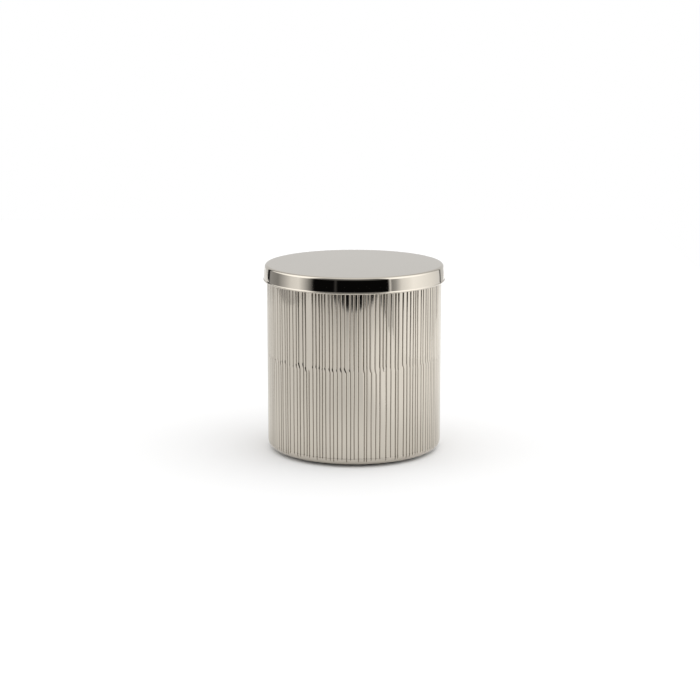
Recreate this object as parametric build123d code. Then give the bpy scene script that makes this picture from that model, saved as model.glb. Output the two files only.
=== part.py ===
"""Candle tin: a scored sheet-metal canister with a slip-over lid, filled with wax and one wick.

Millimetres. The origin is the centre of the base pad's underside, which stands on the table, and +Z is up.
Every sub-part is a separate solid, written to parts/NODE.step.
"""

from build123d import *

import math
import os
import random

# ---- overall sizes -------------------------------------------------------------------------------
TOTAL_HEIGHT = 98.3  # table to the top of the closed lid
BODY_RADIUS = 45.5  # outside of the scored wall
SHEET = 0.8  # wall, base and lid are all pressed from the same gauge

# ---- lid: flat top, rounded edge, short skirt that leans out to a rolled bead along its lower edge ----
LID_RADIUS = 46.7  # at the top of the skirt
LID_EDGE_RADIUS = 1.6
LID_SKIRT_DEPTH = 8.4
LID_FLARE = 0.5  # how far the skirt leans out by its lower edge
LID_BEAD_RADIUS = 0.55
LID_BEAD_STAND_OUT = 0.2  # how far the bead stands proud of the skirt

# ---- gasket: flat silicone ring stuck under the lid, which lands on the rolled rim ------------------
GASKET_THICKNESS = 1.2
GASKET_INNER_RADIUS = 42.8
GASKET_OUTER_RADIUS = 45.0
GASKET_CLEARANCE = 0.05

# ---- wall: rolled sheet, scored from outside, top edge curled into a bead ---------------------------
RIM_BEAD_RADIUS = 0.9
RIM_BEAD_CENTRE_RADIUS = 44.75
SCORE_COUNT = 138  # scored lines round the wall, in each course
SCORE_WIDTH = 0.8
SCORE_DEPTH = 0.3
SCORE_FOOT = 1.2  # plain band left above the base seam
SCORE_HEAD = 4.0  # plain band left below the rim, under the lid
COURSE_JOINT = 0.515  # height where the two scored courses meet, as a share of the total height
COURSE_GAP = 0.5  # plain band between the two courses
SCORE_UNEVENNESS = 0.3  # how far a gap between lines may be from the even one, as a share of it
SCORE_JOG = 0.35  # largest sideways step between the two courses, as a share of the gap beside the line
SCORE_SEED = 11  # the hand-scored spacing, the same each time

# ---- base: spun pan with a rounded corner, a recessed panel and a flange inside the wall ------------
PAD_STAND_OUT = 1.2  # the pad lifts the pan this far off the table
CORNER_RADIUS = 3.7
FLANGE_HEIGHT = 8.0
INNER_CORNER_RADIUS = 2.8
RECESS_DEPTH = 0.3
RECESS_RADIUS = 40.4
RECESS_SLOPE = 1.0
PAD_RADIUS = 40.0

# ---- candle: wax, wick, its metal tab and the adhesive disc under the tab ---------------------------
WAX_LEVEL = 84.0
WICK_RADIUS = 1.3
WICK_STAND_UP = 6.0
TAB_RADIUS = 10.0
TAB_SHEET = 0.4
TAB_NECK_RADIUS = 1.9
TAB_NECK_HEIGHT = 6.0
STICKER_RADIUS = 9.0
STICKER_THICKNESS = 0.8

# ---- heights and radii that follow ------------------------------------------------------------------
LID_UNDERSIDE = TOTAL_HEIGHT - SHEET
LID_BOTTOM = TOTAL_HEIGHT - LID_SKIRT_DEPTH
RIM_TOP = LID_UNDERSIDE - GASKET_THICKNESS - GASKET_CLEARANCE
SEAM_HEIGHT = PAD_STAND_OUT + CORNER_RADIUS
PANEL_UNDERSIDE = PAD_STAND_OUT + RECESS_DEPTH
CUP_FLOOR = PANEL_UNDERSIDE + SHEET
WALL_INNER_RADIUS = BODY_RADIUS - SHEET
FLANGE_INNER_RADIUS = WALL_INNER_RADIUS - SHEET
FLANGE_TOP = SEAM_HEIGHT + FLANGE_HEIGHT
CORNER_CENTRE_RADIUS = BODY_RADIUS - CORNER_RADIUS
SCORE_BOTTOM = SEAM_HEIGHT + SCORE_FOOT
SCORE_TOP = RIM_TOP - SCORE_HEAD
LOWER_COURSE_TOP = COURSE_JOINT * TOTAL_HEIGHT - COURSE_GAP / 2
UPPER_COURSE_BOTTOM = LOWER_COURSE_TOP + COURSE_GAP
TAB_BOTTOM = CUP_FLOOR + STICKER_THICKNESS


def arc(start, centre, end):
    """Shorter arc about centre from start to end, in the (radius, height) plane."""
    to_middle = (Vector(*start) + Vector(*end)) / 2 - Vector(*centre)
    middle = Vector(*centre) + to_middle.normalized() * math.dist(start, centre)
    return ThreePointArc(start, middle, end)


def turned(*edges):
    """Solid of revolution about Z from a closed outline of edges in the (radius, height) plane."""
    return revolve(Plane.XZ * make_face(edges), Axis.Z)


def ring(inner_radius, outer_radius, bottom, top):
    """Flat-ended ring, or a disc when inner_radius is 0."""
    corners = [(inner_radius, bottom), (outer_radius, bottom), (outer_radius, top), (inner_radius, top)]
    return turned(Polyline(*corners, close=True))


def lid_cap():
    """Pressed lid: top, rounded edge and skirt are one sheet, and the lower edge is rolled outwards."""
    edge_centre = (LID_RADIUS - LID_EDGE_RADIUS, TOTAL_HEIGHT - LID_EDGE_RADIUS)
    lip_radius = LID_RADIUS + LID_FLARE
    bead_height = LID_BOTTOM + LID_BEAD_RADIUS
    bead = Pos(lip_radius + LID_BEAD_STAND_OUT - LID_BEAD_RADIUS, bead_height) * Circle(LID_BEAD_RADIUS)
    top_end = (edge_centre[0], TOTAL_HEIGHT)
    skirt_start = (LID_RADIUS, edge_centre[1])
    skirt_end = (lip_radius, bead_height)
    inner_end = (lip_radius - SHEET, bead_height)
    inner_start = (LID_RADIUS - SHEET, edge_centre[1])
    under_end = (edge_centre[0], LID_UNDERSIDE)
    sheet = make_face(
        [
            Line((0, LID_UNDERSIDE), (0, TOTAL_HEIGHT)),
            Line((0, TOTAL_HEIGHT), top_end),
            arc(top_end, edge_centre, skirt_start),
            Line(skirt_start, skirt_end),
            Line(skirt_end, inner_end),
            Line(inner_end, inner_start),
            arc(inner_start, edge_centre, under_end),
            Line(under_end, (0, LID_UNDERSIDE)),
        ]
    )
    return revolve(Plane.XZ * (sheet + bead), Axis.Z)


def lid_gasket():
    """Silicone ring under the lid."""
    return ring(GASKET_INNER_RADIUS, GASKET_OUTER_RADIUS, LID_UNDERSIDE - GASKET_THICKNESS, LID_UNDERSIDE)


def score_angles(course):
    """Angles, in radians, of one course's scored lines.

    The gaps are uneven, as hand scoring leaves them. The lower course follows the upper one, with each line
    stepped sideways into the gap beside it.
    """
    chance = random.Random(SCORE_SEED)
    gaps = [1 + chance.uniform(-SCORE_UNEVENNESS, SCORE_UNEVENNESS) for _ in range(SCORE_COUNT)]
    steps = [chance.uniform(0, SCORE_JOG) * gap for gap in gaps]
    starts = [sum(gaps[:i]) for i in range(SCORE_COUNT)]
    if course == "lower":
        starts = [start + step for start, step in zip(starts, steps)]
    return [2 * math.pi * start / sum(gaps) for start in starts]


def scored_tube(course, bottom, top):
    """Length of wall with one course of V-shaped lines cut along its outside."""
    notch = Pos(BODY_RADIUS, 0) * make_face(
        Polyline((-SCORE_DEPTH, 0), (SCORE_DEPTH, -SCORE_WIDTH), (SCORE_DEPTH, SCORE_WIDTH), close=True)
    )
    notches = [Rot(0, 0, math.degrees(angle)) * notch for angle in score_angles(course)]
    section = Circle(BODY_RADIUS) - notches - Circle(WALL_INNER_RADIUS)
    return Pos(0, 0, bottom) * extrude(section, top - bottom)


def rim_tube():
    """Plain top of the wall, with its edge curled into a bead."""
    bead_height = RIM_TOP - RIM_BEAD_RADIUS
    bead = Pos(RIM_BEAD_CENTRE_RADIUS, bead_height) * Circle(RIM_BEAD_RADIUS)
    sheet_centre = (WALL_INNER_RADIUS + SHEET / 2, (SCORE_TOP + bead_height) / 2)
    sheet = Pos(*sheet_centre) * Rectangle(SHEET, bead_height - SCORE_TOP)
    return revolve(Plane.XZ * (bead + sheet), Axis.Z)


def tin_wall():
    """Rolled wall from the base seam to the curled rim, with its two scored courses."""
    return (
        ring(WALL_INNER_RADIUS, BODY_RADIUS, SEAM_HEIGHT, SCORE_BOTTOM)
        + scored_tube("lower", SCORE_BOTTOM, LOWER_COURSE_TOP)
        + ring(WALL_INNER_RADIUS, BODY_RADIUS, LOWER_COURSE_TOP, UPPER_COURSE_BOTTOM)
        + scored_tube("upper", UPPER_COURSE_BOTTOM, SCORE_TOP)
        + rim_tube()
    )


def base_pan():
    """Pan that closes the wall: recessed panel, rounded corner, and a flange pressed up inside the wall."""
    corner_centre = (CORNER_CENTRE_RADIUS, SEAM_HEIGHT)
    recess_foot = (RECESS_RADIUS + RECESS_SLOPE, PAD_STAND_OUT)
    corner_start = (CORNER_CENTRE_RADIUS, PAD_STAND_OUT)
    corner_end = (BODY_RADIUS, SEAM_HEIGHT)
    shoulder = (WALL_INNER_RADIUS, SEAM_HEIGHT)
    inside_centre = (FLANGE_INNER_RADIUS - INNER_CORNER_RADIUS, CUP_FLOOR + INNER_CORNER_RADIUS)
    inside_side = (FLANGE_INNER_RADIUS, inside_centre[1])
    inside_floor = (inside_centre[0], CUP_FLOOR)
    return turned(
        Line((0, CUP_FLOOR), (0, PANEL_UNDERSIDE)),
        Line((0, PANEL_UNDERSIDE), (RECESS_RADIUS, PANEL_UNDERSIDE)),
        Line((RECESS_RADIUS, PANEL_UNDERSIDE), recess_foot),
        Line(recess_foot, corner_start),
        arc(corner_start, corner_centre, corner_end),
        Line(corner_end, shoulder),
        Line(shoulder, (WALL_INNER_RADIUS, FLANGE_TOP)),
        Line((WALL_INNER_RADIUS, FLANGE_TOP), (FLANGE_INNER_RADIUS, FLANGE_TOP)),
        Line((FLANGE_INNER_RADIUS, FLANGE_TOP), inside_side),
        arc(inside_side, inside_centre, inside_floor),
        Line(inside_floor, (0, CUP_FLOOR)),
    )


def base_pad():
    """Felt disc glued in the recess, which the tin stands on."""
    return ring(0, PAD_RADIUS, 0, PANEL_UNDERSIDE)


def wick_sticker():
    """Adhesive foam disc that holds the wick tab to the floor of the cup."""
    return ring(0, STICKER_RADIUS, CUP_FLOOR, TAB_BOTTOM)


def wick_tab():
    """Stamped disc with a neck crimped round the wick."""
    return ring(WICK_RADIUS, TAB_RADIUS, TAB_BOTTOM, TAB_BOTTOM + TAB_SHEET) + ring(
        WICK_RADIUS, TAB_NECK_RADIUS, TAB_BOTTOM, TAB_BOTTOM + TAB_NECK_HEIGHT
    )


def wick():
    """Cotton wick from the sticker to its trimmed tip."""
    return ring(0, WICK_RADIUS, TAB_BOTTOM, WAX_LEVEL + WICK_STAND_UP)


def wax_fill():
    """Poured wax: it fills the cup round the pan's flange, the sticker, the tab and the wick."""
    inside_centre = (FLANGE_INNER_RADIUS - INNER_CORNER_RADIUS, CUP_FLOOR + INNER_CORNER_RADIUS)
    inside_side = (FLANGE_INNER_RADIUS, inside_centre[1])
    inside_floor = (inside_centre[0], CUP_FLOOR)
    poured = turned(
        Line((0, CUP_FLOOR), inside_floor),
        arc(inside_floor, inside_centre, inside_side),
        Line(inside_side, (FLANGE_INNER_RADIUS, FLANGE_TOP)),
        Line((FLANGE_INNER_RADIUS, FLANGE_TOP), (WALL_INNER_RADIUS, FLANGE_TOP)),
        Line((WALL_INNER_RADIUS, FLANGE_TOP), (WALL_INNER_RADIUS, WAX_LEVEL)),
        Line((WALL_INNER_RADIUS, WAX_LEVEL), (0, WAX_LEVEL)),
        Line((0, WAX_LEVEL), (0, CUP_FLOOR)),
    )
    return poured - wick_sticker() - wick_tab() - wick()


SUB_PARTS = {
    "lid_cap": lid_cap,
    "lid_gasket": lid_gasket,
    "tin_wall": tin_wall,
    "base_pan": base_pan,
    "base_pad": base_pad,
    "wax_fill": wax_fill,
    "wick": wick,
    "wick_tab": wick_tab,
    "wick_sticker": wick_sticker,
}

os.makedirs("parts", exist_ok=True)
for node, make in SUB_PARTS.items():
    export_step(make(), f"parts/{node}.step")
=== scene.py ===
"""Looks of a scored candle tin, built round its packed model: metal shell, lid, candle and studio.

Every length is in metres, and every piece is made where the frame says. The file is laid out as an add-on,
with one operator for each piece or group of pieces, and is run as a script.
"""

import math
import random

import bpy
import numpy as np
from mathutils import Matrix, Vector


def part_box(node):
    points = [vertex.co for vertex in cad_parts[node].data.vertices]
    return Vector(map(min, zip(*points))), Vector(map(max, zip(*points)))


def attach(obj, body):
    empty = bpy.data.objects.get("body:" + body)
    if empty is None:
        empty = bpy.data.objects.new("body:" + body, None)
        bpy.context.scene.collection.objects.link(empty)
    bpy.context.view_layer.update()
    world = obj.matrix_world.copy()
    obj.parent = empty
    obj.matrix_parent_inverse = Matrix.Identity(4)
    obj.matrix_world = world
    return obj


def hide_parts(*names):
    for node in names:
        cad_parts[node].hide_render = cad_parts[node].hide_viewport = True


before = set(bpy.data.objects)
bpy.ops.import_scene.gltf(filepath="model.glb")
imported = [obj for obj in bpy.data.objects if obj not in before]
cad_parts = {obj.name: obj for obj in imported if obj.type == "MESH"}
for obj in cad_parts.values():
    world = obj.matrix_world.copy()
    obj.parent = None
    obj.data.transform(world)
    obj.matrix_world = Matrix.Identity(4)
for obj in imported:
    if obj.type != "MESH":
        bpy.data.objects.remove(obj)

bl_info = {
    "name": "Candle Tin",
    "version": (1, 0, 0),
    "blender": (4, 5, 0),
    "location": "View3D > Sidebar > Candle Tin",
    "description": "Builds a scored metal candle tin round its packed model",
    "category": "Add Mesh",
}

MM = 0.001


def turned_size(node):
    """Outer radius, lowest and highest point of a node that is turned about the Z axis."""
    low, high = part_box(node)
    return high.x, low.z, high.z


LID_RADIUS, LID_FOOT, LID_TOP = turned_size("lid_cap")
GASKET_RADIUS, GASKET_FOOT, GASKET_TOP = turned_size("lid_gasket")
RIM_RADIUS, WALL_FOOT, RIM_TOP = turned_size("tin_wall")
BODY_RADIUS, PAN_FOOT, FLANGE_TOP = turned_size("base_pan")
PAD_RADIUS, PAD_FOOT, PAD_TOP = turned_size("base_pad")
WAX_RADIUS, CUP_FLOOR, WAX_LEVEL = turned_size("wax_fill")
WICK_RADIUS, WICK_FOOT, WICK_TOP = turned_size("wick")
TAB_RADIUS, TAB_FOOT, TAB_TOP = turned_size("wick_tab")
STICKER_RADIUS, STICKER_FOOT, STICKER_TOP = turned_size("wick_sticker")
SHEET = BODY_RADIUS - WAX_RADIUS
FLANGE_RADIUS = WAX_RADIUS - SHEET
CUP_CORNER = 2.8 * MM  # rounding between the cup's floor and its side
POLE_RADIUS = 0.5 * MM  # where a turned outline stops short of the axis


# ---- settings --------------------------------------------------------------------------------------


def length(name, description, default):
    """A length in metres."""
    return bpy.props.FloatProperty(
        name=name, description=description, default=default, unit="LENGTH", precision=5
    )


def share(name, description, default):
    """A number from 0 to 1."""
    return bpy.props.FloatProperty(
        name=name, description=description, default=default, min=0.0, max=1.0, subtype="FACTOR"
    )


def slope(name, description, degrees):
    """An angle, given in degrees and kept in radians."""
    return bpy.props.FloatProperty(
        name=name, description=description, default=math.radians(degrees), subtype="ANGLE"
    )


def colour(name, description, default):
    """A linear colour."""
    return bpy.props.FloatVectorProperty(
        name=name, description=description, default=default, size=3, min=0.0, max=1.0, subtype="COLOR"
    )


class WallSettings(bpy.types.PropertyGroup):
    """Rolled wall and its two courses of scored lines."""

    lines: bpy.props.IntProperty(name="Lines", description="Scored lines in each course", default=138, min=8)
    seed: bpy.props.IntProperty(name="Seed", description="Fixes the uneven spacing", default=11)
    unevenness: share("Unevenness", "How far a gap may be from the even one", 0.3)
    jog: share("Jog", "Largest step between the courses, as a share of the gap beside the line", 0.35)
    joint_height: length("Joint height", "Where the two courses meet", 50.6 * MM)
    joint_length: length("Joint length", "Height over which a line steps sideways", 3.0 * MM)
    line_depth: length("Line depth", "Depth of the upper course's lines", 0.34 * MM)
    line_width: length("Line width", "Width of a scored line", 1.05 * MM)
    lower_share: share("Lower course", "Depth of the lower course's lines, as a share of the upper's", 0.85)
    strip_tilt: slope("Strip tilt", "Largest tilt of the strips between the lines", 1.3)
    strip_crown: bpy.props.FloatProperty(
        name="Strip crown",
        description="How many times rounder than the tin the roundest strip is",
        default=2.6,
    )
    rim_bead: length("Rim bead", "Radius of the curled rim", 0.9 * MM)


class LidSettings(bpy.types.PropertyGroup):
    """Pressed lid."""

    edge_radius: length("Edge radius", "Rounding between the top and the skirt", 1.5 * MM)
    top_lean: slope("Lean at the top", "How far the skirt leans out just below the rounding", 8.5)
    foot_lean: slope("Lean at the foot", "How far the skirt leans out just above the bead", 1.5)
    bead_radius: length("Bead radius", "Radius of the rolled lower edge", 0.5 * MM)
    ring_height: length("Gasket rib", "Height of the two ribs on the gasket", 0.12 * MM)


class BaseSettings(bpy.types.PropertyGroup):
    """Base pan and pad."""

    corner_radius: length("Corner radius", "Rounding at the foot of the tin", 3.7 * MM)
    recess_radius: length("Recess radius", "Edge of the recess that holds the pad", 40.4 * MM)
    recess_depth: length("Recess depth", "How far the panel is set in", 0.3 * MM)
    fibre_height: length("Felt fibres", "Height of the felt's fibres", 0.12 * MM)


class CandleSettings(bpy.types.PropertyGroup):
    """Wax, wick and what holds the wick."""

    meniscus: length("Meniscus", "How far the wax climbs the wall", 1.1 * MM)
    ripple: length("Ripple", "Unevenness of the set wax", 0.09 * MM)
    plait_length: length("Plait length", "Height of one turn of the wick's plait", 6.4 * MM)
    wax_colour: colour("Wax colour", "Colour of the wax", (0.86, 0.79, 0.64))


class FinishSettings(bpy.types.PropertyGroup):
    """Plated metal."""

    nickel: colour("Nickel", "Colour of the polished plating", (0.60, 0.555, 0.485))
    lid_roughness: share("Lid roughness", "Roughness of the polished lid", 0.05)
    wall_roughness: share("Wall roughness", "Roughness of the scored wall", 0.04)
    # How dark the bottoms of the scored lines are painted: partly residue, partly painted shade of the
    # grooves.
    tarnish_and_shade: share("Tarnish", "How dark the residue in the scored lines is", 0.85)


class StudioSettings(bpy.types.PropertyGroup):
    """Camera, table and soft light."""

    camera_distance: length("Camera distance", "From the tin's axis to the camera", 0.979)
    camera_height: length("Camera height", "From the table to the camera", 0.2583)
    camera_pitch: slope("Camera pitch", "How far the camera looks down", 11.9)
    camera_yaw: slope("Camera yaw", "How far the camera looks to the left", 0.127)
    lens: bpy.props.FloatProperty(name="Lens", description="Focal length", default=97.8, unit="CAMERA")
    table_reach: length("Table reach", "From the tin to the table's front and left edges", 0.472)
    # Painted light: how bright the table's colour is painted in front and on the left, as reflections see it.
    table_front: share("Table in front", "How bright the front of the table is in reflections", 0.72)
    table_left: share("Table on the left", "How bright the left of the table is in reflections", 0.80)
    dome: bpy.props.FloatProperty(
        name="Dome", description="Strength of the dome over the table", default=1.22
    )
    side_light: bpy.props.FloatProperty(
        name="Side light", description="How much brighter the dome is on the right", default=0.35
    )
    ceiling: bpy.props.FloatProperty(
        name="Ceiling", description="Brightness of the ceiling in reflections", default=1.05
    )


SETTINGS = {
    "tin_wall": WallSettings,
    "tin_lid": LidSettings,
    "tin_base": BaseSettings,
    "tin_candle": CandleSettings,
    "tin_finish": FinishSettings,
    "tin_studio": StudioSettings,
}


# ---- surfaces --------------------------------------------------------------------------------------


def turn(count):
    """Evenly spaced angles round a circle."""
    return np.arange(count) * (2 * math.pi / count)


def smooth_step(value):
    """0 below 0, 1 above 1, and a smooth rise between."""
    value = np.clip(value, 0, 1)
    return value * value * (3 - 2 * value)


def arc(centre, radius, start, end, count):
    """Outline points on a circle in the (radius, height) plane: centre plus radius times (cosine, sine)."""
    angles = np.radians(np.linspace(start, end, count))
    return np.stack([centre[0] + radius * np.cos(angles), centre[1] + radius * np.sin(angles)], axis=1)


def straight(start, end, count):
    """Outline points on a straight line, both ends among them."""
    return np.linspace(start, end, count)


def outline(*stretches):
    """One outline from several, leaving out the points where a stretch starts on the last one's end."""
    points = np.concatenate(stretches)
    moved = np.linalg.norm(np.diff(points, axis=0), axis=1) > 1e-7
    return points[np.concatenate([[True], moved])]


def round_points(radii, heights, angles):
    """Grid of points: radius times (cosine, sine) of the angle, at the height. The three are broadcast."""
    radii, heights, angles = np.broadcast_arrays(radii, heights, angles)
    return np.stack([radii * np.cos(angles), radii * np.sin(angles), heights], axis=-1)


def grid_faces(rows, columns, wrap_rows):
    """Quads between neighbours of a grid whose columns close on themselves, and its rows too if asked."""
    row = np.arange(rows if wrap_rows else rows - 1)[:, None]
    column = np.arange(columns)[None, :]
    next_row = (row + 1) % rows
    next_column = (column + 1) % columns
    corners = [
        row * columns + column,
        row * columns + next_column,
        next_row * columns + next_column,
        next_row * columns + column,
    ]
    grids = [np.broadcast_to(corner, (len(row), columns)) for corner in corners]
    return np.stack(grids, axis=-1).reshape(-1, 4)


def grid_surface(points, wrap_rows):
    """Vertices and faces of a grid of points. Rows that don't wrap end in a pole at each end's mean point."""
    rows, columns = points.shape[:2]
    vertices = points.reshape(-1, 3)
    faces = grid_faces(rows, columns, wrap_rows).tolist()
    if wrap_rows:
        return vertices, faces
    poles = np.stack([points[0].mean(axis=0), points[-1].mean(axis=0)])
    first, last = len(vertices), len(vertices) + 1
    column = np.arange(columns)
    beside = (column + 1) % columns
    top = (rows - 1) * columns
    faces += np.stack([np.full(columns, first), beside, column], axis=1).tolist()
    faces += np.stack([np.full(columns, last), top + column, top + beside], axis=1).tolist()
    return np.concatenate([vertices, poles]), faces


def joined(surfaces):
    """One surface from several."""
    vertices, faces, count = [], [], 0
    for points, polygons in surfaces:
        vertices.append(points)
        faces += [[corner + count for corner in polygon] for polygon in polygons]
        count += len(points)
    return np.concatenate(vertices), faces


def enclosed_volume(vertices, faces):
    """Volume inside a closed surface: the sum of the tetrahedra from the origin to each fan of triangles."""
    total = 0.0
    for corners in (3, 4):
        polygons = np.array([face for face in faces if len(face) == corners], dtype=int)
        for k in range(1, corners - 1) if len(polygons) else ():
            a, b, c = (vertices[polygons[:, i]] for i in (0, k, k + 1))
            total += np.einsum("ij,ij->", a, np.cross(b, c)) / 6
    return total


def add_piece(name, surface, body, node, material, marks=None):
    """Adds a smooth piece that stands for a CAD node, with its faces outwards, and gives it its finish.

    marks is a name and one number per vertex, which the material reads.
    """
    vertices, faces = surface
    if enclosed_volume(vertices, faces) < 0:
        faces = [face[::-1] for face in faces]
    mesh = bpy.data.meshes.new(name)
    mesh.from_pydata(vertices, [], faces)
    mesh.shade_smooth()
    if marks:
        mark_name, values = marks
        mesh.attributes.new(mark_name, "FLOAT", "POINT").data.foreach_set("value", values.astype(np.float32))
    mesh.materials.append(material)
    piece = bpy.data.objects.new(name, mesh)
    bpy.context.scene.collection.objects.link(piece)
    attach(piece, body)
    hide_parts(node)


def turned_surface(points, columns, wrap_rows=False):
    """Surface of revolution: an outline in the (radius, height) plane carried round the Z axis."""
    angles = turn(columns)[None, :]
    return grid_surface(round_points(points[:, :1], points[:, 1:], angles), wrap_rows)


# ---- scored wall -----------------------------------------------------------------------------------

STATIONS = np.array([0, 0.12, 0.24, 0.36, 0.52, 0.66]) * MM  # columns beside a line, from its middle
LAND_STATIONS = 2  # columns spread over the rest of a strip


class ScoredLines:
    """Where the scored lines run, and how deep, on a grid of heights by lines."""

    SWAY = 0.05 * MM  # how far a line wavers sideways
    JOINT_SCATTER = 0.5 * MM  # spread of the heights where the lines step sideways
    END_FADE = 2.5 * MM  # height over which a line fades out at the foot
    STRIP_START = 1.5 * MM  # above the pan's foot: the strips are plain below it
    STRIP_RISE = 4 * MM  # height over which their tilt and rounding grow to the full amount

    def __init__(self, settings, heights):
        chance = random.Random(settings.seed)
        count = settings.lines
        gaps = np.array([1 + chance.uniform(-settings.unevenness, settings.unevenness) for _ in range(count)])
        steps = gaps * np.array([chance.uniform(0, settings.jog) for _ in range(count)])
        unit = 2 * math.pi / gaps.sum()
        upper = unit * (np.cumsum(gaps) - gaps)
        spread = np.random.default_rng(settings.seed)
        height = heights[:, None]
        joint = settings.joint_height + spread.normal(0, self.JOINT_SCATTER, count)
        lower_weight = 1 - smooth_step((height - joint) / settings.joint_length + 0.5)
        sway = self.SWAY * np.sin(height * spread.uniform(60, 160, count) + spread.uniform(0, 6.3, count))
        self.angle = upper + unit * steps * lower_weight + sway / BODY_RADIUS
        self.gap = (np.roll(self.angle, -1, axis=1) - self.angle) % (2 * math.pi)
        self.depth = settings.line_depth * self._strength(settings, height, lower_weight, spread, count)
        self.tilt = self._tilt(settings, height, lower_weight, spread, count)
        self.crown = spread.uniform(0.1, 1.0, count)[None, :] * settings.strip_crown
        self.working = smooth_step((height - PAN_FOOT - self.STRIP_START) / self.STRIP_RISE)

    def _strength(self, settings, height, lower_weight, spread, count):
        """Share of the full depth: each pass of a line has its own, and it fades out above the base seam."""
        upper_pass = spread.uniform(0.65, 1.1, count) * (spread.random(count) > 0.01)
        lower_pass = spread.uniform(0.6, 1.0, count) * (spread.random(count) > 0.03) * settings.lower_share
        end = PAN_FOOT + spread.uniform(0.6, 2.2, count) * MM
        fade = smooth_step((height - end) / self.END_FADE)
        joint_taper = 1 - 1.6 * lower_weight * (1 - lower_weight)
        return (upper_pass + (lower_pass - upper_pass) * lower_weight) * fade * joint_taper

    @staticmethod
    def _tilt(settings, height, lower_weight, spread, count):
        """Slope of each strip across its width, different in the two courses and easing along its length."""
        upper_tilt, lower_tilt = spread.uniform(-1, 1, (2, count))
        easing = 0.3 * np.sin(height * spread.uniform(40, 110, count) + spread.uniform(0, 6.3, count))
        course_tilt = upper_tilt + (lower_tilt - upper_tilt) * lower_weight
        return math.tan(settings.strip_tilt) * (course_tilt + easing)


def scored_band(settings, heights):
    """Outside of the wall: angles, radii and line marks on a grid of heights by columns.

    Across each strip between two lines the radius is the body radius, plus the strip's tilt times the
    distance from its middle, less a parabola that rounds the strip, less a cosine bell at each line.
    """
    lines = ScoredLines(settings, heights)
    half = (lines.gap * BODY_RADIUS / 2)[..., None]
    near = STATIONS * np.minimum(1, 0.85 * half / STATIONS[-1])
    inner = np.linspace(0, 1, LAND_STATIONS + 2)[1:-1]
    land = near[..., -1:] + (2 * half - 2 * near[..., -1:]) * inner
    along = np.concatenate([near, land, 2 * half - near[..., :0:-1]], axis=-1)
    from_line = np.minimum(along, 2 * half - along)
    across = along - half
    depth = lines.depth[..., None]
    depth = np.where(across < 0, depth, np.roll(depth, -1, axis=1))
    in_line = 0.5 + 0.5 * np.cos(2 * math.pi * np.clip(from_line / settings.line_width, 0, 0.5))
    rounding = lines.crown[..., None] * across**2 / (2 * BODY_RADIUS)
    strip = (lines.tilt[..., None] * across - rounding) * lines.working[..., None]
    radius = BODY_RADIUS + strip - depth * in_line
    angle = lines.angle[..., None] + along / BODY_RADIUS
    marks = in_line * np.clip(2 * depth / settings.line_depth, 0, 1)
    return (grid.reshape(len(heights), -1) for grid in (angle, radius, marks))


def wall_heights(settings):
    """Rows of the scored band: close together at the foot and where the courses meet."""
    joint = settings.joint_height
    foot_band = 12 * MM
    joint_band = 3 * MM
    foot = WALL_FOOT + foot_band * np.linspace(0, 1, 9) ** 1.6
    lower = np.linspace(foot[-1], joint - joint_band, 8)[1:]
    middle = np.linspace(joint - joint_band, joint + joint_band, 12)[1:]
    upper = np.linspace(joint + joint_band, RIM_TOP - 2.4 * settings.rim_bead, 9)[1:]
    return np.concatenate([foot, lower, middle, upper])


def wall_surface(settings):
    """Scored outside, curled rim, plain inside: one closed loop of rows carried round the tin.

    The scored pattern dies out between the band's last row and the curl, where the lid covers it.
    """
    heights = wall_heights(settings)
    angle, radius, marks = scored_band(settings, heights)
    bead = settings.rim_bead
    centre = (RIM_RADIUS - bead, RIM_TOP - bead)
    start = -math.degrees(math.acos((BODY_RADIUS - centre[0]) / bead))
    end = 180 + math.degrees(math.acos((centre[0] - WAX_RADIUS) / bead))
    curl = arc(centre, bead, start, end, 13)
    inside = np.array([[WAX_RADIUS, z] for z in (centre[1] - 2 * bead, WAX_LEVEL, FLANGE_TOP, WALL_FOOT)])
    rest = np.concatenate([curl, inside])
    columns = angle.shape[1]
    angles = np.concatenate([angle, np.tile(angle[-1], (len(rest), 1))])
    radii = np.concatenate([radius, np.tile(rest[:, :1], (1, columns))])
    levels = np.concatenate([heights, rest[:, 1]])[:, None]
    marks = np.concatenate([marks, np.zeros((len(rest), columns))])
    return grid_surface(round_points(radii, levels, angles), wrap_rows=True), marks.ravel()


# ---- lid -------------------------------------------------------------------------------------------


def skirt_line(start, drop, top_lean, foot_lean, count):
    """Outline of the skirt: its lean eases from top_lean to foot_lean, and the radius sums its tangent."""
    part = np.linspace(0, 1, count)
    leans = np.tan(top_lean + (foot_lean - top_lean) * part)
    steps = drop / (count - 1)
    out = np.concatenate([[0], np.cumsum((leans[1:] + leans[:-1]) / 2 * steps)])
    return np.stack([start[0] + out, start[1] - part * drop], axis=1)


def lid_outline(settings):
    """Top, rounded edge, skirt, rolled bead, and back up the inside to the underside's middle."""
    edge, bead = settings.edge_radius, settings.bead_radius
    edge_height = LID_TOP - edge
    bead_centre = (LID_RADIUS - bead, LID_FOOT + bead)
    skirt_foot = bead_centre[1] + 0.8 * bead
    edge_end = math.degrees(settings.top_lean)
    lean_drop = edge_height + edge * math.sin(settings.top_lean) - skirt_foot
    skirt = skirt_line((0, 0), lean_drop, settings.top_lean, settings.foot_lean, 14)
    skirt_end = bead_centre[0] + 0.6 * bead
    skirt_start = skirt_end - skirt[-1, 0]
    edge_centre = skirt_start - edge * math.cos(settings.top_lean)
    skirt = skirt + (skirt_start, edge_height + edge * math.sin(settings.top_lean))
    inner = skirt[::-1] - (SHEET, 0)
    return outline(
        straight((POLE_RADIUS, LID_TOP), (edge_centre, LID_TOP), 30),
        arc((edge_centre, edge_height), edge, 90, edge_end, 16),
        skirt,
        arc(bead_centre, bead, 45, -180, 16),
        inner,
        arc((edge_centre, edge_height), edge - SHEET, edge_end, 90, 8),
        straight((edge_centre, LID_TOP - SHEET), (POLE_RADIUS, LID_TOP - SHEET), 24),
    )


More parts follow.
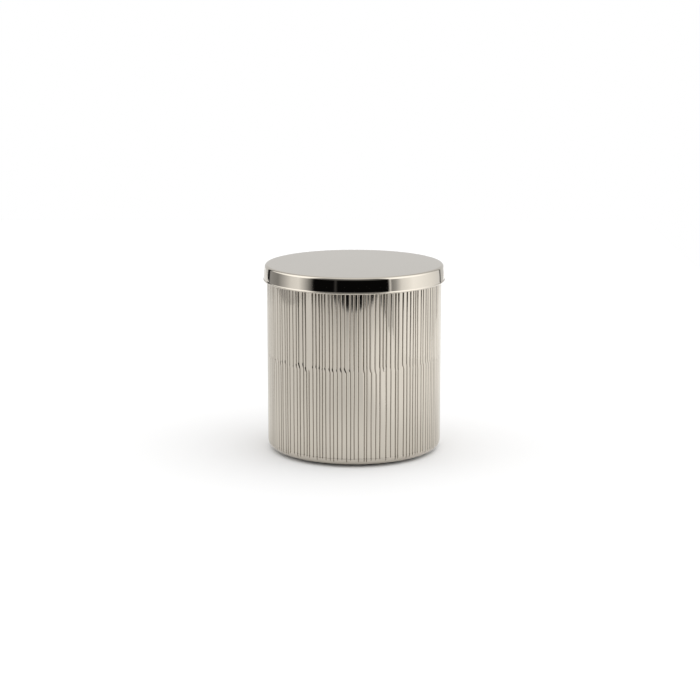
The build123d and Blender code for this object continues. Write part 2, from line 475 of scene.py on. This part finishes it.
def gasket_outline(settings):
    """Flat ring with two low ribs underneath, which meet the rim, and rounded edges."""
    width = 2.2 * MM
    height = GASKET_TOP - GASKET_FOOT - settings.ring_height
    inner = GASKET_RADIUS - width
    part = np.linspace(0, 1, 33)
    ribs = settings.ring_height * np.cos(2 * math.pi * part) ** 2
    level = GASKET_FOOT + settings.ring_height - ribs * np.sin(math.pi * part)
    under = np.stack([inner + width * part, level], axis=1)
    edge = 0.35 * height
    return outline(
        under,
        arc((GASKET_RADIUS - edge, GASKET_TOP - edge), edge, 0, 90, 6),
        arc((inner + edge, GASKET_TOP - edge), edge, 90, 180, 6),
    )


# ---- base ------------------------------------------------------------------------------------------


def pan_surface(base, wall):
    """Recessed panel, rolled step, scored corner, seam ledge, flange, and back along the inside of the cup.

    The scored lines run on from the wall over the rounded corner, where they cut less and less deep.
    """
    corner = base.corner_radius
    panel = PAN_FOOT + base.recess_depth
    seam = PAN_FOOT + corner
    step = 0.4 * base.recess_depth
    bevel = 0.1 * MM
    under = outline(
        straight((3 * POLE_RADIUS, panel), (base.recess_radius - step, panel), 3),
        arc((base.recess_radius - step, panel - step), step, 90, 20, 4),
        arc((base.recess_radius + 1.3 * step, PAN_FOOT + step), step, 200, 270, 4),
    )
    corner_line = outline(
        arc((BODY_RADIUS - corner, seam), corner, -90, -2, 12),
        [(BODY_RADIUS, seam)],
    )
    within = outline(
        straight((WAX_RADIUS, seam), (WAX_RADIUS, FLANGE_TOP - bevel), 3),
        straight((WAX_RADIUS - 1.5 * bevel, FLANGE_TOP), (FLANGE_RADIUS, FLANGE_TOP - bevel), 2),
        arc((FLANGE_RADIUS - CUP_CORNER, CUP_FLOOR + CUP_CORNER), CUP_CORNER, 0, -90, 6),
        straight((FLANGE_RADIUS - CUP_CORNER, CUP_FLOOR), (3 * POLE_RADIUS, CUP_FLOOR), 3),
    )
    angle, radius, marks = scored_band(wall, corner_line[:, 1])
    radius = radius - (BODY_RADIUS - corner_line[:, :1])
    columns = angle.shape[1]
    before, after = np.tile(angle[:1], (len(under), 1)), np.tile(angle[-1:], (len(within), 1))
    angles = np.concatenate([before, angle, after])
    plain = [np.tile(part[:, :1], (1, columns)) for part in (under, within)]
    radii = np.concatenate([plain[0], radius, plain[1]])
    levels = np.concatenate([under, corner_line, within])[:, 1:]
    marks = np.concatenate([np.zeros_like(plain[0]), marks, np.zeros_like(plain[1])]).ravel()
    surface = grid_surface(round_points(radii, levels, angles), wrap_rows=False)
    pole_marks = [0, 0]
    return surface, np.concatenate([marks, pole_marks])


def pad_surface(settings):
    """Felt disc with a rounded edge: its underside is roughened by products of waves that cross each other,
    and its edge is frayed by waves round it.
    """
    edge = 0.45 * (PAD_TOP - PAD_FOOT)
    points = outline(
        straight((POLE_RADIUS, PAD_FOOT), (PAD_RADIUS - edge, PAD_FOOT), 30),
        arc((PAD_RADIUS - edge, PAD_FOOT + edge), edge, -90, 0, 6),
        straight((PAD_RADIUS, PAD_TOP - 0.1 * MM), (POLE_RADIUS, PAD_TOP), 12),
    )
    angles = turn(240)[None, :]
    radii, heights = points[:, :1], points[:, 1:]
    fray = np.sin(41 * angles) + np.sin(67 * angles + 900 * heights) + np.sin(103 * angles + 2)
    x, y = radii * np.cos(angles), radii * np.sin(angles)
    fine = np.sin(1300 * x + 500 * y) * np.sin(1500 * y - 400 * x)
    coarse = np.sin(800 * x - 1100 * y) * np.sin(930 * x + 610 * y)
    at_edge = smooth_step((radii - PAD_RADIUS + 2 * edge) / (2 * edge))
    bulge = settings.fibre_height * (fray / 3 - 1) * at_edge
    underside = (1 - at_edge) * (heights < PAD_TOP - 0.2 * MM)
    raised = settings.fibre_height * (0.5 + 0.25 * (fine + coarse)) * underside
    return grid_surface(round_points(radii + bulge, heights + raised, angles), wrap_rows=False)


# ---- candle ----------------------------------------------------------------------------------------


def wax_surface(settings):
    """Set wax: a flat top with low ripples, drawn up in a curve at the wall and at the wick.

    The level is the wax's height, plus the meniscus times a falling exponential of the distance from the
    wall and from the wick, less a bell-shaped dip round the wick, plus waves across and round it. The sides
    follow the wall, the flange and the cup.
    """
    clear = 0.02 * MM
    side = WAX_RADIUS - clear
    flange = FLANGE_RADIUS - clear
    floor = CUP_FLOOR + clear
    top = straight((WICK_RADIUS * 0.7, WAX_LEVEL), (side, WAX_LEVEL), 60)
    below = outline(
        straight((side, WAX_LEVEL - 2 * MM), (side, FLANGE_TOP), 6),
        straight((flange, FLANGE_TOP), (flange, CUP_FLOOR + CUP_CORNER), 3),
        arc((flange - CUP_CORNER, floor + CUP_CORNER), CUP_CORNER, 0, -90, 8),
        straight((flange - CUP_CORNER, floor), (POLE_RADIUS, floor), 6),
    )
    wall_reach = 0.9 * MM
    wick_reach = 1.4 * MM
    dip, dip_radius, dip_width = 0.35 * MM, 7 * MM, 5 * MM
    angles = turn(288)[None, :]
    radii = top[:, :1]
    climb = settings.meniscus * np.exp(-(side - radii) / wall_reach)
    draw = 0.7 * settings.meniscus * np.exp(-(radii - WICK_RADIUS) / wick_reach)
    sink = dip * np.exp(-(((radii - dip_radius) / dip_width) ** 2))
    waves = np.sin(310 * radii + 2 * angles) + np.sin(3 * angles + 1) * np.sin(190 * radii)
    waves = waves + 0.5 * np.sin(7 * angles + 260 * radii) * radii / side
    heights = WAX_LEVEL + climb + draw - sink + settings.ripple * waves * (1 - radii / side) ** 0.5
    crown = round_points(radii, heights, angles)
    rest = round_points(below[:, :1], below[:, 1:], angles)
    return grid_surface(np.concatenate([crown, rest]), wrap_rows=False)


def strand_surface(path, radius, around):
    """Tube round a path: at each of its points, a circle square to the path's direction, closed by poles."""
    along = np.gradient(path, axis=0)
    along /= np.linalg.norm(along, axis=1, keepdims=True)
    side = np.cross(along, (0.0, 1.0, 0.0))
    side /= np.linalg.norm(side, axis=1, keepdims=True)
    other = np.cross(along, side)
    angles = turn(around)[None, :, None]
    ring = side[:, None] * np.cos(angles) + other[:, None] * np.sin(angles)
    return grid_surface(path[:, None] + ring * np.reshape(radius, (-1, 1, 1)), wrap_rows=False)


def wick_surface(settings):
    """Plait of three strands, a third of a turn apart: across is a sine of the height, and depth a sine of
    twice it.

    Each strand is a tube whose yarn swells and narrows a little, and thins to its trimmed tip.
    """
    strands = 3
    reach = 0.47 * WICK_RADIUS
    strand = WICK_RADIUS - reach
    clear = 0.05 * MM
    count = int((WICK_TOP - WICK_FOOT) / settings.plait_length * 22)
    heights = np.linspace(WICK_FOOT + clear, WICK_TOP - clear, count)
    surfaces = []
    for k in range(strands):
        phase = 2 * math.pi * (heights / settings.plait_length + k / strands)
        across = reach * np.sin(phase)
        depth = 0.62 * reach * np.sin(2 * phase)
        path = np.stack([across, depth, heights], axis=1)
        end = np.clip((WICK_TOP - clear - heights) / (0.5 * MM), 0, 1)
        thickness = strand * (0.93 + 0.07 * np.sin(5 * phase + k)) * (0.55 + 0.45 * np.sqrt(end))
        surfaces.append(strand_surface(path, thickness, around=12))
    return joined(surfaces)


def tab_surface():
    """Stamped disc with a pressed ring, a rounded rim and a neck that two crimps squeeze round the wick."""
    sheet = 0.4 * MM
    rim = sheet / 2
    neck = 1.9 * MM
    fillet = 0.8 * MM
    lip = 0.15 * MM
    top = TAB_FOOT + sheet
    ring_height, ring_place, ring_width = 0.25 * MM, 0.45, 0.07
    part = np.linspace(0, 1, 40)
    disc_radius = TAB_RADIUS - rim + (neck + fillet - TAB_RADIUS + rim) * part
    ring = ring_height * np.exp(-(((part - ring_place) / ring_width) ** 2))
    disc = np.stack([disc_radius, top + ring], axis=1)
    points = outline(
        straight((WICK_RADIUS, TAB_FOOT), (TAB_RADIUS - rim, TAB_FOOT), 8),
        arc((TAB_RADIUS - rim, TAB_FOOT + rim), rim, -90, 90, 7),
        disc,
        arc((neck + fillet, top + fillet), fillet, 270, 180, 8),
        straight((neck, top + fillet), (neck, TAB_TOP - lip), 12),
        arc((neck - lip, TAB_TOP - lip), lip, 0, 90, 4),
        straight((WICK_RADIUS, TAB_TOP), (WICK_RADIUS, TAB_FOOT), 10),
    )
    angles = turn(144)[None, :]
    radii, heights = points[:, :1], points[:, 1:]
    crimp_height = (TAB_TOP + top) / 2
    near_crimp = np.exp(-(((heights - crimp_height) / (1.0 * MM)) ** 2)) * (radii > WICK_RADIUS + 0.1 * MM)
    squeeze = 0.35 * MM * near_crimp * np.cos(angles) ** 8 * (radii < neck + 0.1 * MM)
    return grid_surface(round_points(radii - squeeze, heights, angles), wrap_rows=True)


def sticker_outline():
    """Foam disc with a rounded, slightly bulging edge."""
    edge = (STICKER_TOP - STICKER_FOOT) / 2
    return outline(
        straight((POLE_RADIUS, STICKER_FOOT), (STICKER_RADIUS - edge, STICKER_FOOT), 12),
        arc((STICKER_RADIUS - edge, STICKER_FOOT + edge), edge, -90, 90, 9),
        straight((STICKER_RADIUS - edge, STICKER_TOP), (POLE_RADIUS, STICKER_TOP), 12),
    )


# ---- shader trees ----------------------------------------------------------------------------------


class Nodes:
    """Writes a shader tree. Each call adds a node and gives back the output that the next one reads."""

    def __init__(self, tree):
        self.tree = tree
        tree.nodes.clear()

    def add(self, kind, inputs, output=0, **options):
        """A node of any kind, its inputs by name or number, as numbers or as other nodes' sockets."""
        made = self.tree.nodes.new(kind)
        for option, value in options.items():
            setattr(made, option, value)
        for key, value in inputs.items():
            if isinstance(value, bpy.types.NodeSocket):
                self.tree.links.new(value, made.inputs[key])
            else:
                made.inputs[key].default_value = value
        return made.outputs[output] if made.outputs else None

    def math(self, operation, *values):
        """Arithmetic on one or two numbers."""
        return self.add("ShaderNodeMath", dict(enumerate(values)), operation=operation)

    def rise(self, value, low, high, start=0.0, end=1.0):
        """Smooth step from start to end as the value goes from low to high."""
        inputs = {"Value": value, 1: low, 2: high, 3: start, 4: end}
        return self.add("ShaderNodeMapRange", inputs, interpolation_type="SMOOTHSTEP")

    def noise(self, vector, scale, detail=3.0, roughness=0.5):
        """Cloudy noise from 0 to 1."""
        inputs = {"Vector": vector, "Scale": scale, "Detail": detail, "Roughness": roughness}
        return self.add("ShaderNodeTexNoise", inputs, "Fac")

    def stretched(self, vector, scale):
        """The vector with each part multiplied by its own factor."""
        return self.add("ShaderNodeMapping", {"Vector": vector, "Scale": scale})

    def mix(self, amount, first, second):
        """Mix of two numbers."""
        return self.add("ShaderNodeMix", {0: amount, 2: first, 3: second})

    def blend(self, amount, first, second):
        """Mix of two colours."""
        return self.add("ShaderNodeMix", {0: amount, 6: first, 7: second}, 2, data_type="RGBA")

    def bump(self, height, distance, strength=1.0, below=None):
        """Surface normal tilted by a height map, on top of another bump if one is given."""
        inputs = {"Height": height, "Distance": distance, "Strength": strength}
        if below:
            inputs["Normal"] = below
        return self.add("ShaderNodeBump", inputs)

    def position(self):
        """Object coordinates."""
        return self.add("ShaderNodeTexCoord", {}, "Object")

    def parts(self, vector):
        """The x, y and z parts of a vector."""
        split = self.tree.nodes.new("ShaderNodeSeparateXYZ")
        self.tree.links.new(vector, split.inputs[0])
        return split.outputs

    def distance(self, x, y):
        """Length of a flat vector."""
        return self.math("SQRT", self.math("ADD", self.math("MULTIPLY", x, x), self.math("MULTIPLY", y, y)))

    def round_position(self, around, up, out):
        """Object coordinates as (angle, height, radius), each times its factor, for marks that run round."""
        x, y, z = self.parts(self.position())
        turned = (self.math("ARCTAN2", y, x), z, self.distance(x, y))
        scaled_parts = [self.math("MULTIPLY", part, by) for part, by in zip(turned, (around, up, out))]
        return self.add("ShaderNodeCombineXYZ", dict(enumerate(scaled_parts)))


def surface_material(name):
    """A new material with its node writer and a function that finishes it with a Principled shader."""
    material = bpy.data.materials.new(name)
    material.use_nodes = True
    nodes = Nodes(material.node_tree)

    def finish(inputs):
        """Ends the tree in a Principled shader with these inputs."""
        shader = nodes.add("ShaderNodeBsdfPrincipled", inputs)
        nodes.add("ShaderNodeOutputMaterial", {"Surface": shader})
        return material

    return nodes, finish


def solid(rgb):
    """Colour with full alpha."""
    return (*rgb, 1.0)


def scaled(rgb, factor):
    """Colour made lighter or darker."""
    return tuple(part * factor for part in rgb)


def spun_nickel(settings):
    """Polished plating with faint polishing rings, a few wipe marks, and a cloudy variation in tone."""
    nodes, finish = surface_material("lid_nickel")
    place = nodes.position()
    rings = nodes.noise(nodes.round_position(0.15, 9000, 9000), 1.0, 4)
    cloud = nodes.noise(place, 55, 4, 0.6)
    wipes = nodes.noise(nodes.stretched(place, (900, 140, 500)), 1.0, 5, 0.7)
    haze = nodes.math("MULTIPLY", nodes.rise(cloud, 0.45, 0.8), 0.05)
    marks = nodes.math("MULTIPLY", nodes.rise(wipes, 0.55, 0.85), 0.04)
    rough = nodes.math("ADD", nodes.math("ADD", haze, marks), settings.lid_roughness)
    duller = solid(scaled(settings.nickel, 0.97))
    tone = nodes.blend(nodes.rise(cloud, 0.2, 0.8), duller, solid(settings.nickel))
    relief = nodes.bump(rings, 0.006 * MM, 0.5)
    relief = nodes.bump(cloud, 0.02 * MM, 0.25, relief)
    return finish({"Base Color": tone, "Metallic": 1.0, "Roughness": rough, "Normal": relief})


def scored_nickel(name, settings):
    """Plating on the wall: fine upright drawing lines, and at the bottom of each scored line a dark brown
    that is partly residue and partly painted shade of the groove.
    """
    nodes, finish = surface_material(name)
    place = nodes.position()
    line = nodes.add("ShaderNodeAttribute", {}, "Fac", attribute_name="line", attribute_type="GEOMETRY")
    drawn = nodes.noise(nodes.round_position(900, 40, 1), 1.0, 4, 0.65)
    cloud = nodes.noise(place, 60, 4, 0.6)
    in_line = nodes.rise(line, 0.28, 0.85)
    # Painted shade: the bottoms of the scored lines are coloured dark brown, partly for residue and partly
    # for the shade that falls in the grooves.
    residue_and_shade = nodes.math("MULTIPLY", in_line, settings.tarnish_and_shade)
    duller = solid(scaled(settings.nickel, 0.93))
    clean = nodes.blend(nodes.rise(drawn, 0.3, 0.75), duller, solid(settings.nickel))
    residue_and_shade_brown = (0.11, 0.085, 0.06)
    tone = nodes.blend(residue_and_shade, clean, solid(residue_and_shade_brown))
    worn = nodes.math("MULTIPLY", nodes.rise(drawn, 0.4, 0.8), 0.03)
    rough = nodes.math("ADD", settings.wall_roughness, worn)
    rough = nodes.math("ADD", rough, nodes.math("MULTIPLY", nodes.rise(cloud, 0.4, 0.8), 0.02))
    rough = nodes.math("ADD", rough, nodes.math("MULTIPLY", in_line, 0.2))
    relief = nodes.bump(drawn, 0.004 * MM, 0.5)
    return finish({"Base Color": tone, "Metallic": 1.0, "Roughness": rough, "Normal": relief})


def silicone():
    """Milky translucent rubber with a fine moulded grain."""
    nodes, finish = surface_material("silicone")
    place = nodes.position()
    cloud = nodes.noise(place, 240, 4)
    tone = nodes.blend(cloud, (0.62, 0.61, 0.57, 1), (0.78, 0.77, 0.73, 1))
    rough = nodes.rise(cloud, 0.3, 0.7, 0.38, 0.52)
    relief = nodes.bump(nodes.noise(place, 2600, 2), 0.02 * MM, 0.5)
    inputs = {"Base Color": tone, "Roughness": rough, "Normal": relief, "Subsurface Weight": 0.3}
    return finish({**inputs, "Subsurface Radius": (0.002, 0.0018, 0.0015), "Subsurface Scale": 1.0})


def felt():
    """Black pressed felt: matted fibres in two directions, with dust caught on them."""
    nodes, finish = surface_material("black_felt")
    place = nodes.position()
    fibres = nodes.noise(nodes.stretched(place, (5200, 900, 2500)), 1.0, 5, 0.7)
    crossing = nodes.noise(nodes.stretched(place, (800, 4800, 2500)), 1.0, 5, 0.7)
    matted = nodes.math("MAXIMUM", fibres, crossing)
    tone = nodes.blend(nodes.rise(matted, 0.45, 0.8), (0.006, 0.006, 0.007, 1), (0.035, 0.034, 0.036, 1))
    relief = nodes.bump(matted, 0.15 * MM, 0.9)
    return finish({"Base Color": tone, "Roughness": 0.96, "Sheen Weight": 0.3, "Normal": relief})


def wax(settings):
    """Poured wax: cream, softly lit from within, with frosting, tiny pits and a satin skin."""
    nodes, finish = surface_material("poured_wax")
    place = nodes.position()
    frosting = nodes.noise(place, 130, 6, 0.65)
    grain = nodes.noise(place, 1500, 4, 0.6)
    pits = nodes.add("ShaderNodeTexVoronoi", {"Vector": place, "Scale": 420.0}, "Distance")
    pale = tuple(min(1.0, part * 1.08) for part in settings.wax_colour)
    tone = nodes.blend(nodes.rise(frosting, 0.42, 0.68), solid(settings.wax_colour), solid(pale))
    rough = nodes.rise(frosting, 0.3, 0.7, 0.36, 0.56)
    relief = nodes.bump(grain, 0.03 * MM, 0.4)
    relief = nodes.bump(nodes.rise(pits, 0.0, 0.16), 0.08 * MM, 0.5, relief)
    inputs = {"Base Color": tone, "Roughness": rough, "Normal": relief, "Subsurface Weight": 0.55}
    return finish({**inputs, "Subsurface Radius": (0.006, 0.004, 0.0025), "Subsurface Scale": 1.0})


def cotton():
    """Waxed cotton yarn: fine plies running up each strand, glossier where it has soaked up wax."""
    nodes, finish = surface_material("wick_cotton")
    place = nodes.position()
    plies = nodes.noise(nodes.stretched(place, (5200, 5200, 900)), 1.0, 4, 0.6)
    blotches = nodes.noise(place, 700, 3)
    tone = nodes.blend(nodes.rise(plies, 0.3, 0.7), (0.52, 0.47, 0.38, 1), (0.84, 0.80, 0.71, 1))
    rough = nodes.rise(blotches, 0.35, 0.65, 0.55, 0.85)
    relief = nodes.bump(plies, 0.12 * MM, 0.9)
    return finish({"Base Color": tone, "Roughness": rough, "Normal": relief, "Sheen Weight": 0.15})


def stamped_steel():
    """Tinned steel of the wick tab: pressed, slightly mottled, with directional rolling marks."""
    nodes, finish = surface_material("stamped_steel")
    place = nodes.position()
    rolled = nodes.noise(nodes.stretched(place, (300, 6000, 300)), 1.0, 4, 0.6)
    cloud = nodes.noise(place, 400, 4)
    tone = nodes.blend(cloud, (0.50, 0.50, 0.49, 1), (0.66, 0.66, 0.65, 1))
    rough = nodes.rise(rolled, 0.3, 0.7, 0.26, 0.44)
    relief = nodes.bump(rolled, 0.01 * MM, 0.6)
    return finish({"Base Color": tone, "Metallic": 1.0, "Roughness": rough, "Normal": relief})


def adhesive_foam():
    """White closed-cell foam."""
    nodes, finish = surface_material("adhesive_foam")
    place = nodes.position()
    cells = nodes.add("ShaderNodeTexVoronoi", {"Vector": place, "Scale": 3200.0}, "Distance")
    cloud = nodes.noise(place, 300, 3)
    tone = nodes.blend(cloud, (0.70, 0.70, 0.67, 1), (0.84, 0.84, 0.81, 1))
    relief = nodes.bump(cells, 0.08 * MM, 0.8)
    return finish({"Base Color": tone, "Roughness": 0.85, "Normal": relief})


# ---- studio ----------------------------------------------------------------------------------------

# Brightness of what the tin reflects, by azimuth in degrees: 0 is the viewer's side and 90 the right. Each
# row has three bands: below, at and above eye level.
RING = (
    (-143.5, 0.75, 0.75, 0.75),
    (-142, 0.10, 0.01, 0.06),
    (-135.5, 0.10, 0.01, 0.06),
    (-133.5, 0.34, 0.40, 1.10),
    (-112, 0.36, 0.32, 1.50),
    (-98, 0.46, 0.66, 1.80),
    (-86, 0.50, 1.05, 1.80),
    (-74, 0.66, 1.15, 1.80),
    (-64, 0.74, 0.62, 1.60),
    (-56, 0.74, 0.20, 0.50),
    (-52.5, 0.74, 0.004, 0.15),
    (-34, 0.60, 0.004, 0.15),
    (-24.5, 0.12, 0.004, 0.15),
    (-24, 0.10, 0.05, 0.15),
    (-22.5, 0.05, 0.05, 0.15),
    (-22, 0.004, 0.004, 0.15),
    (23, 0.004, 0.004, 0.15),
    (27, 0.25, 0.004, 0.15),
    (38, 0.30, 0.004, 0.15),
    (40, 0.01, 0.004, 0.15),
    (44, 0.01, 0.004, 0.15),
    (46, 1.30, 1.30, 0.80),
    (47.5, 0.50, 0.30, 1.40),
    (54, 0.95, 0.52, 1.70),
    (62, 1.30, 1.10, 1.80),
    (80, 1.40, 1.45, 1.80),
    (98, 1.35, 1.35, 1.80),
    (138, 0.95, 0.95, 0.80),
    (139.5, 0.20, 0.05, 0.10),
    (142, 0.20, 0.05, 0.10),
    (143.5, 0.75, 0.75, 0.75),
)
# Elevations in degrees over which one band gives way to the next, and the last to the ceiling.
BAND_EDGES = ((-11, -9), (8, 16), (50, 72))


def reflected_studio(nodes, azimuth, elevation, ceiling):
    """Brightness seen in the metal: the ring's three bands, blended by elevation, under an even ceiling."""
    brightest = max(max(levels) for _, *levels in RING)
    ramp = nodes.tree.nodes.new("ShaderNodeValToRGB")
    nodes.tree.links.new(nodes.math("MULTIPLY_ADD", azimuth, 1 / (2 * math.pi), 0.5), ramp.inputs[0])
    stops = ramp.color_ramp.elements
    while len(stops) < len(RING):
        stops.new(0.5)
    for stop, (degrees, *levels) in zip(stops, RING):
        stop.position = degrees / 360 + 0.5
        stop.color = (*(level / brightest for level in levels), 1.0)
    bands = nodes.tree.nodes.new("ShaderNodeSeparateColor")
    nodes.tree.links.new(ramp.outputs[0], bands.inputs[0])
    below, level, above = (nodes.math("MULTIPLY", band, brightest) for band in bands.outputs)
    light = below
    for (low, high), band in zip(BAND_EDGES, (level, above, ceiling)):
        share_up = nodes.rise(elevation, math.radians(low), math.radians(high))
        light = nodes.mix(share_up, light, band)
    return light


def studio_sky(settings):
    """Light of a soft studio: a plain white surround for the camera, a ring of soft boxes and dark openings
    for the reflections, and a dome that is brighter to the right for the light on the table.
    """
    world = bpy.data.worlds.new("studio_sky")
    world.use_nodes = True
    bpy.context.scene.world = world
    nodes = Nodes(world.node_tree)
    x, y, z = nodes.parts(nodes.add("ShaderNodeTexCoord", {}, "Generated"))
    azimuth = nodes.math("ARCTAN2", x, nodes.math("MULTIPLY", y, -1.0))
    elevation = nodes.math("ARCSINE", z)
    reflected = reflected_studio(nodes, azimuth, elevation, settings.ceiling)
    cast = nodes.math("MULTIPLY_ADD", x, settings.side_light, settings.dome)
    seen = nodes.tree.nodes.new("ShaderNodeLightPath").outputs
    strength = nodes.mix(seen["Is Diffuse Ray"], reflected, cast)
    strength = nodes.mix(seen["Is Camera Ray"], strength, 1.0)
    shader = nodes.add("ShaderNodeBackground", {"Color": (1, 1, 1, 1), "Strength": strength})
    nodes.add("ShaderNodeOutputWorld", {"Surface": shader})


def table_top(settings):
    """Plain white table with matt paint: a square grid.

    Its colour holds painted light and shade that only reflections see: darker in front and far ahead of the
    tin, lighter on the right.
    """
    reach = settings.table_reach
    xs = np.linspace(-reach, 0.6 * reach, 12)
    ys = np.linspace(-reach, 1.8 * reach, 12)
    x, y = np.meshgrid(xs, ys)
    points = np.stack([x, y, np.zeros_like(x)], axis=-1).reshape(-1, 3)
    row, column = np.meshgrid(np.arange(len(ys) - 1), np.arange(len(xs) - 1), indexing="ij")
    corner = (row * len(xs) + column).ravel()
    faces = np.stack([corner, corner + 1, corner + len(xs) + 1, corner + len(xs)], axis=1)
    mesh = bpy.data.meshes.new("table")
    mesh.from_pydata(points, [], faces.tolist())
    nodes, finish = surface_material("table_paint")
    x, y, _ = nodes.parts(nodes.position())
    to_left = nodes.math("MULTIPLY", x, -1.0)
    to_front = nodes.math("MULTIPLY", y, -1.0)
    plain = 0.9  # share of full white, as the camera sees it and close to the tin
    # Painted light and shade, for reflections only: the colour is darker in front of the tin and far ahead of
    # it, lighter on the right.
    right = nodes.rise(x, 0.03, 0.12, settings.table_front, 1.0)
    left = nodes.rise(to_left, 0.04, 0.14, settings.table_front, settings.table_left)
    away = nodes.rise(nodes.distance(x, y), 0.07, 0.22)
    painted_light = nodes.mix(away, plain, nodes.math("MAXIMUM", left, right))
    painted_light = nodes.math("MULTIPLY", painted_light, nodes.rise(to_front, 0.28, 0.46, 1.0, 0.72))
    reflected = nodes.tree.nodes.new("ShaderNodeLightPath").outputs["Is Glossy Ray"]
    tone = nodes.blend(nodes.mix(reflected, plain, painted_light), solid((0.0, 0.0, 0.0)), solid((0.98, 0.98, 0.98)))
    mesh.materials.append(finish({"Base Color": tone, "Roughness": 0.9, "Specular IOR Level": 0.0}))
    table = bpy.data.objects.new("table", mesh)
    bpy.context.scene.collection.objects.link(table)


def place_camera(settings):
    """Camera in front of the tin, a little above it, looking down at it."""
    data = bpy.data.cameras.new("camera")
    data.lens = settings.lens
    data.sensor_width = 36.0
    data.clip_start, data.clip_end = 0.01, 20.0
    camera = bpy.data.objects.new("camera", data)
    camera.location = (0.0, -settings.camera_distance, settings.camera_height)
    camera.rotation_euler = (math.pi / 2 - settings.camera_pitch, 0.0, settings.camera_yaw)
    bpy.context.scene.collection.objects.link(camera)
    bpy.context.scene.camera = camera


# ---- operators -------------------------------------------------------------------------------------


class MakeWall(bpy.types.Operator):
    """Build the rolled, scored wall"""

    bl_idname = "candle_tin.make_wall"
    bl_label = "Scored wall"

    def execute(self, context):
        scene = context.scene
        surface, marks = wall_surface(scene.tin_wall)
        material = scored_nickel("wall_nickel", scene.tin_finish)
        add_piece("scored_wall", surface, "tin", "tin_wall", material, ("line", marks))
        return {"FINISHED"}


class MakeLid(bpy.types.Operator):
    """Build the pressed lid"""

    bl_idname = "candle_tin.make_lid"
    bl_label = "Lid"

    def execute(self, context):
        scene = context.scene
        surface = turned_surface(lid_outline(scene.tin_lid), 384)
        add_piece("lid_shell", surface, "lid", "lid_cap", spun_nickel(scene.tin_finish))
        return {"FINISHED"}


class MakeGasket(bpy.types.Operator):
    """Build the silicone ring under the lid"""

    bl_idname = "candle_tin.make_gasket"
    bl_label = "Gasket"

    def execute(self, context):
        surface = turned_surface(gasket_outline(context.scene.tin_lid), 240, wrap_rows=True)
        add_piece("gasket_ring", surface, "lid", "lid_gasket", silicone())
        return {"FINISHED"}


class MakeBase(bpy.types.Operator):
    """Build the base pan and the felt pad in its recess"""

    bl_idname = "candle_tin.make_base"
    bl_label = "Base pan and pad"

    def execute(self, context):
        scene = context.scene
        pan, marks = pan_surface(scene.tin_base, scene.tin_wall)
        metal = scored_nickel("base_nickel", scene.tin_finish)
        add_piece("base_shell", pan, "tin", "base_pan", metal, ("line", marks))
        add_piece("felt_pad", pad_surface(scene.tin_base), "tin", "base_pad", felt())
        return {"FINISHED"}


class PourWax(bpy.types.Operator):
    """Build the set wax"""

    bl_idname = "candle_tin.pour_wax"
    bl_label = "Wax"

    def execute(self, context):
        settings = context.scene.tin_candle
        add_piece("set_wax", wax_surface(settings), "tin", "wax_fill", wax(settings))
        return {"FINISHED"}


class MakeWick(bpy.types.Operator):
    """Build the plaited wick, the tab at its foot and the disc that sticks the tab down"""

    bl_idname = "candle_tin.make_wick"
    bl_label = "Wick, tab and sticker"

    def execute(self, context):
        settings = context.scene.tin_candle
        add_piece("plaited_wick", wick_surface(settings), "tin", "wick", cotton())
        add_piece("crimped_tab", tab_surface(), "tin", "wick_tab", stamped_steel())
        disc = turned_surface(sticker_outline(), 120)
        add_piece("foam_sticker", disc, "tin", "wick_sticker", adhesive_foam())
        return {"FINISHED"}


class SetStage(bpy.types.Operator):
    """Set the table, the soft light and the camera"""

    bl_idname = "candle_tin.set_stage"
    bl_label = "Studio"

    def execute(self, context):
        settings = context.scene.tin_studio
        context.scene.view_settings.view_transform = "Standard"
        studio_sky(settings)
        table_top(settings)
        place_camera(settings)
        return {"FINISHED"}


OPERATORS = (MakeWall, MakeLid, MakeGasket, MakeBase, PourWax, MakeWick, SetStage)


class TinPanel(bpy.types.Panel):
    """The tin's pieces and its studio, in the sidebar"""

    bl_idname = "VIEW3D_PT_candle_tin"
    bl_label = "Candle Tin"
    bl_space_type = "VIEW_3D"
    bl_region_type = "UI"
    bl_category = "Candle Tin"

    def draw(self, context):
        """Lists the operators, then each group's settings."""
        for operator in OPERATORS:
            self.layout.operator(operator.bl_idname)
        for name, group in SETTINGS.items():
            box = self.layout.box()
            box.label(text=group.__doc__)
            for setting in group.__annotations__:
                box.prop(getattr(context.scene, name), setting)


def register():
    """Registers the settings, the operators and the panel."""
    for name, group in SETTINGS.items():
        bpy.utils.register_class(group)
        setattr(bpy.types.Scene, name, bpy.props.PointerProperty(type=group))
    for kind in (*OPERATORS, TinPanel):
        bpy.utils.register_class(kind)


def unregister():
    """Undoes register."""
    for kind in (TinPanel, *reversed(OPERATORS)):
        bpy.utils.unregister_class(kind)
    for name, group in reversed(SETTINGS.items()):
        delattr(bpy.types.Scene, name)
        bpy.utils.unregister_class(group)


def main():
    """Builds every piece and the stage."""
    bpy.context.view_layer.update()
    register()
    for operator in OPERATORS:
        group, name = operator.bl_idname.split(".")
        getattr(getattr(bpy.ops, group), name)()


if __name__ == "__main__":
    main()
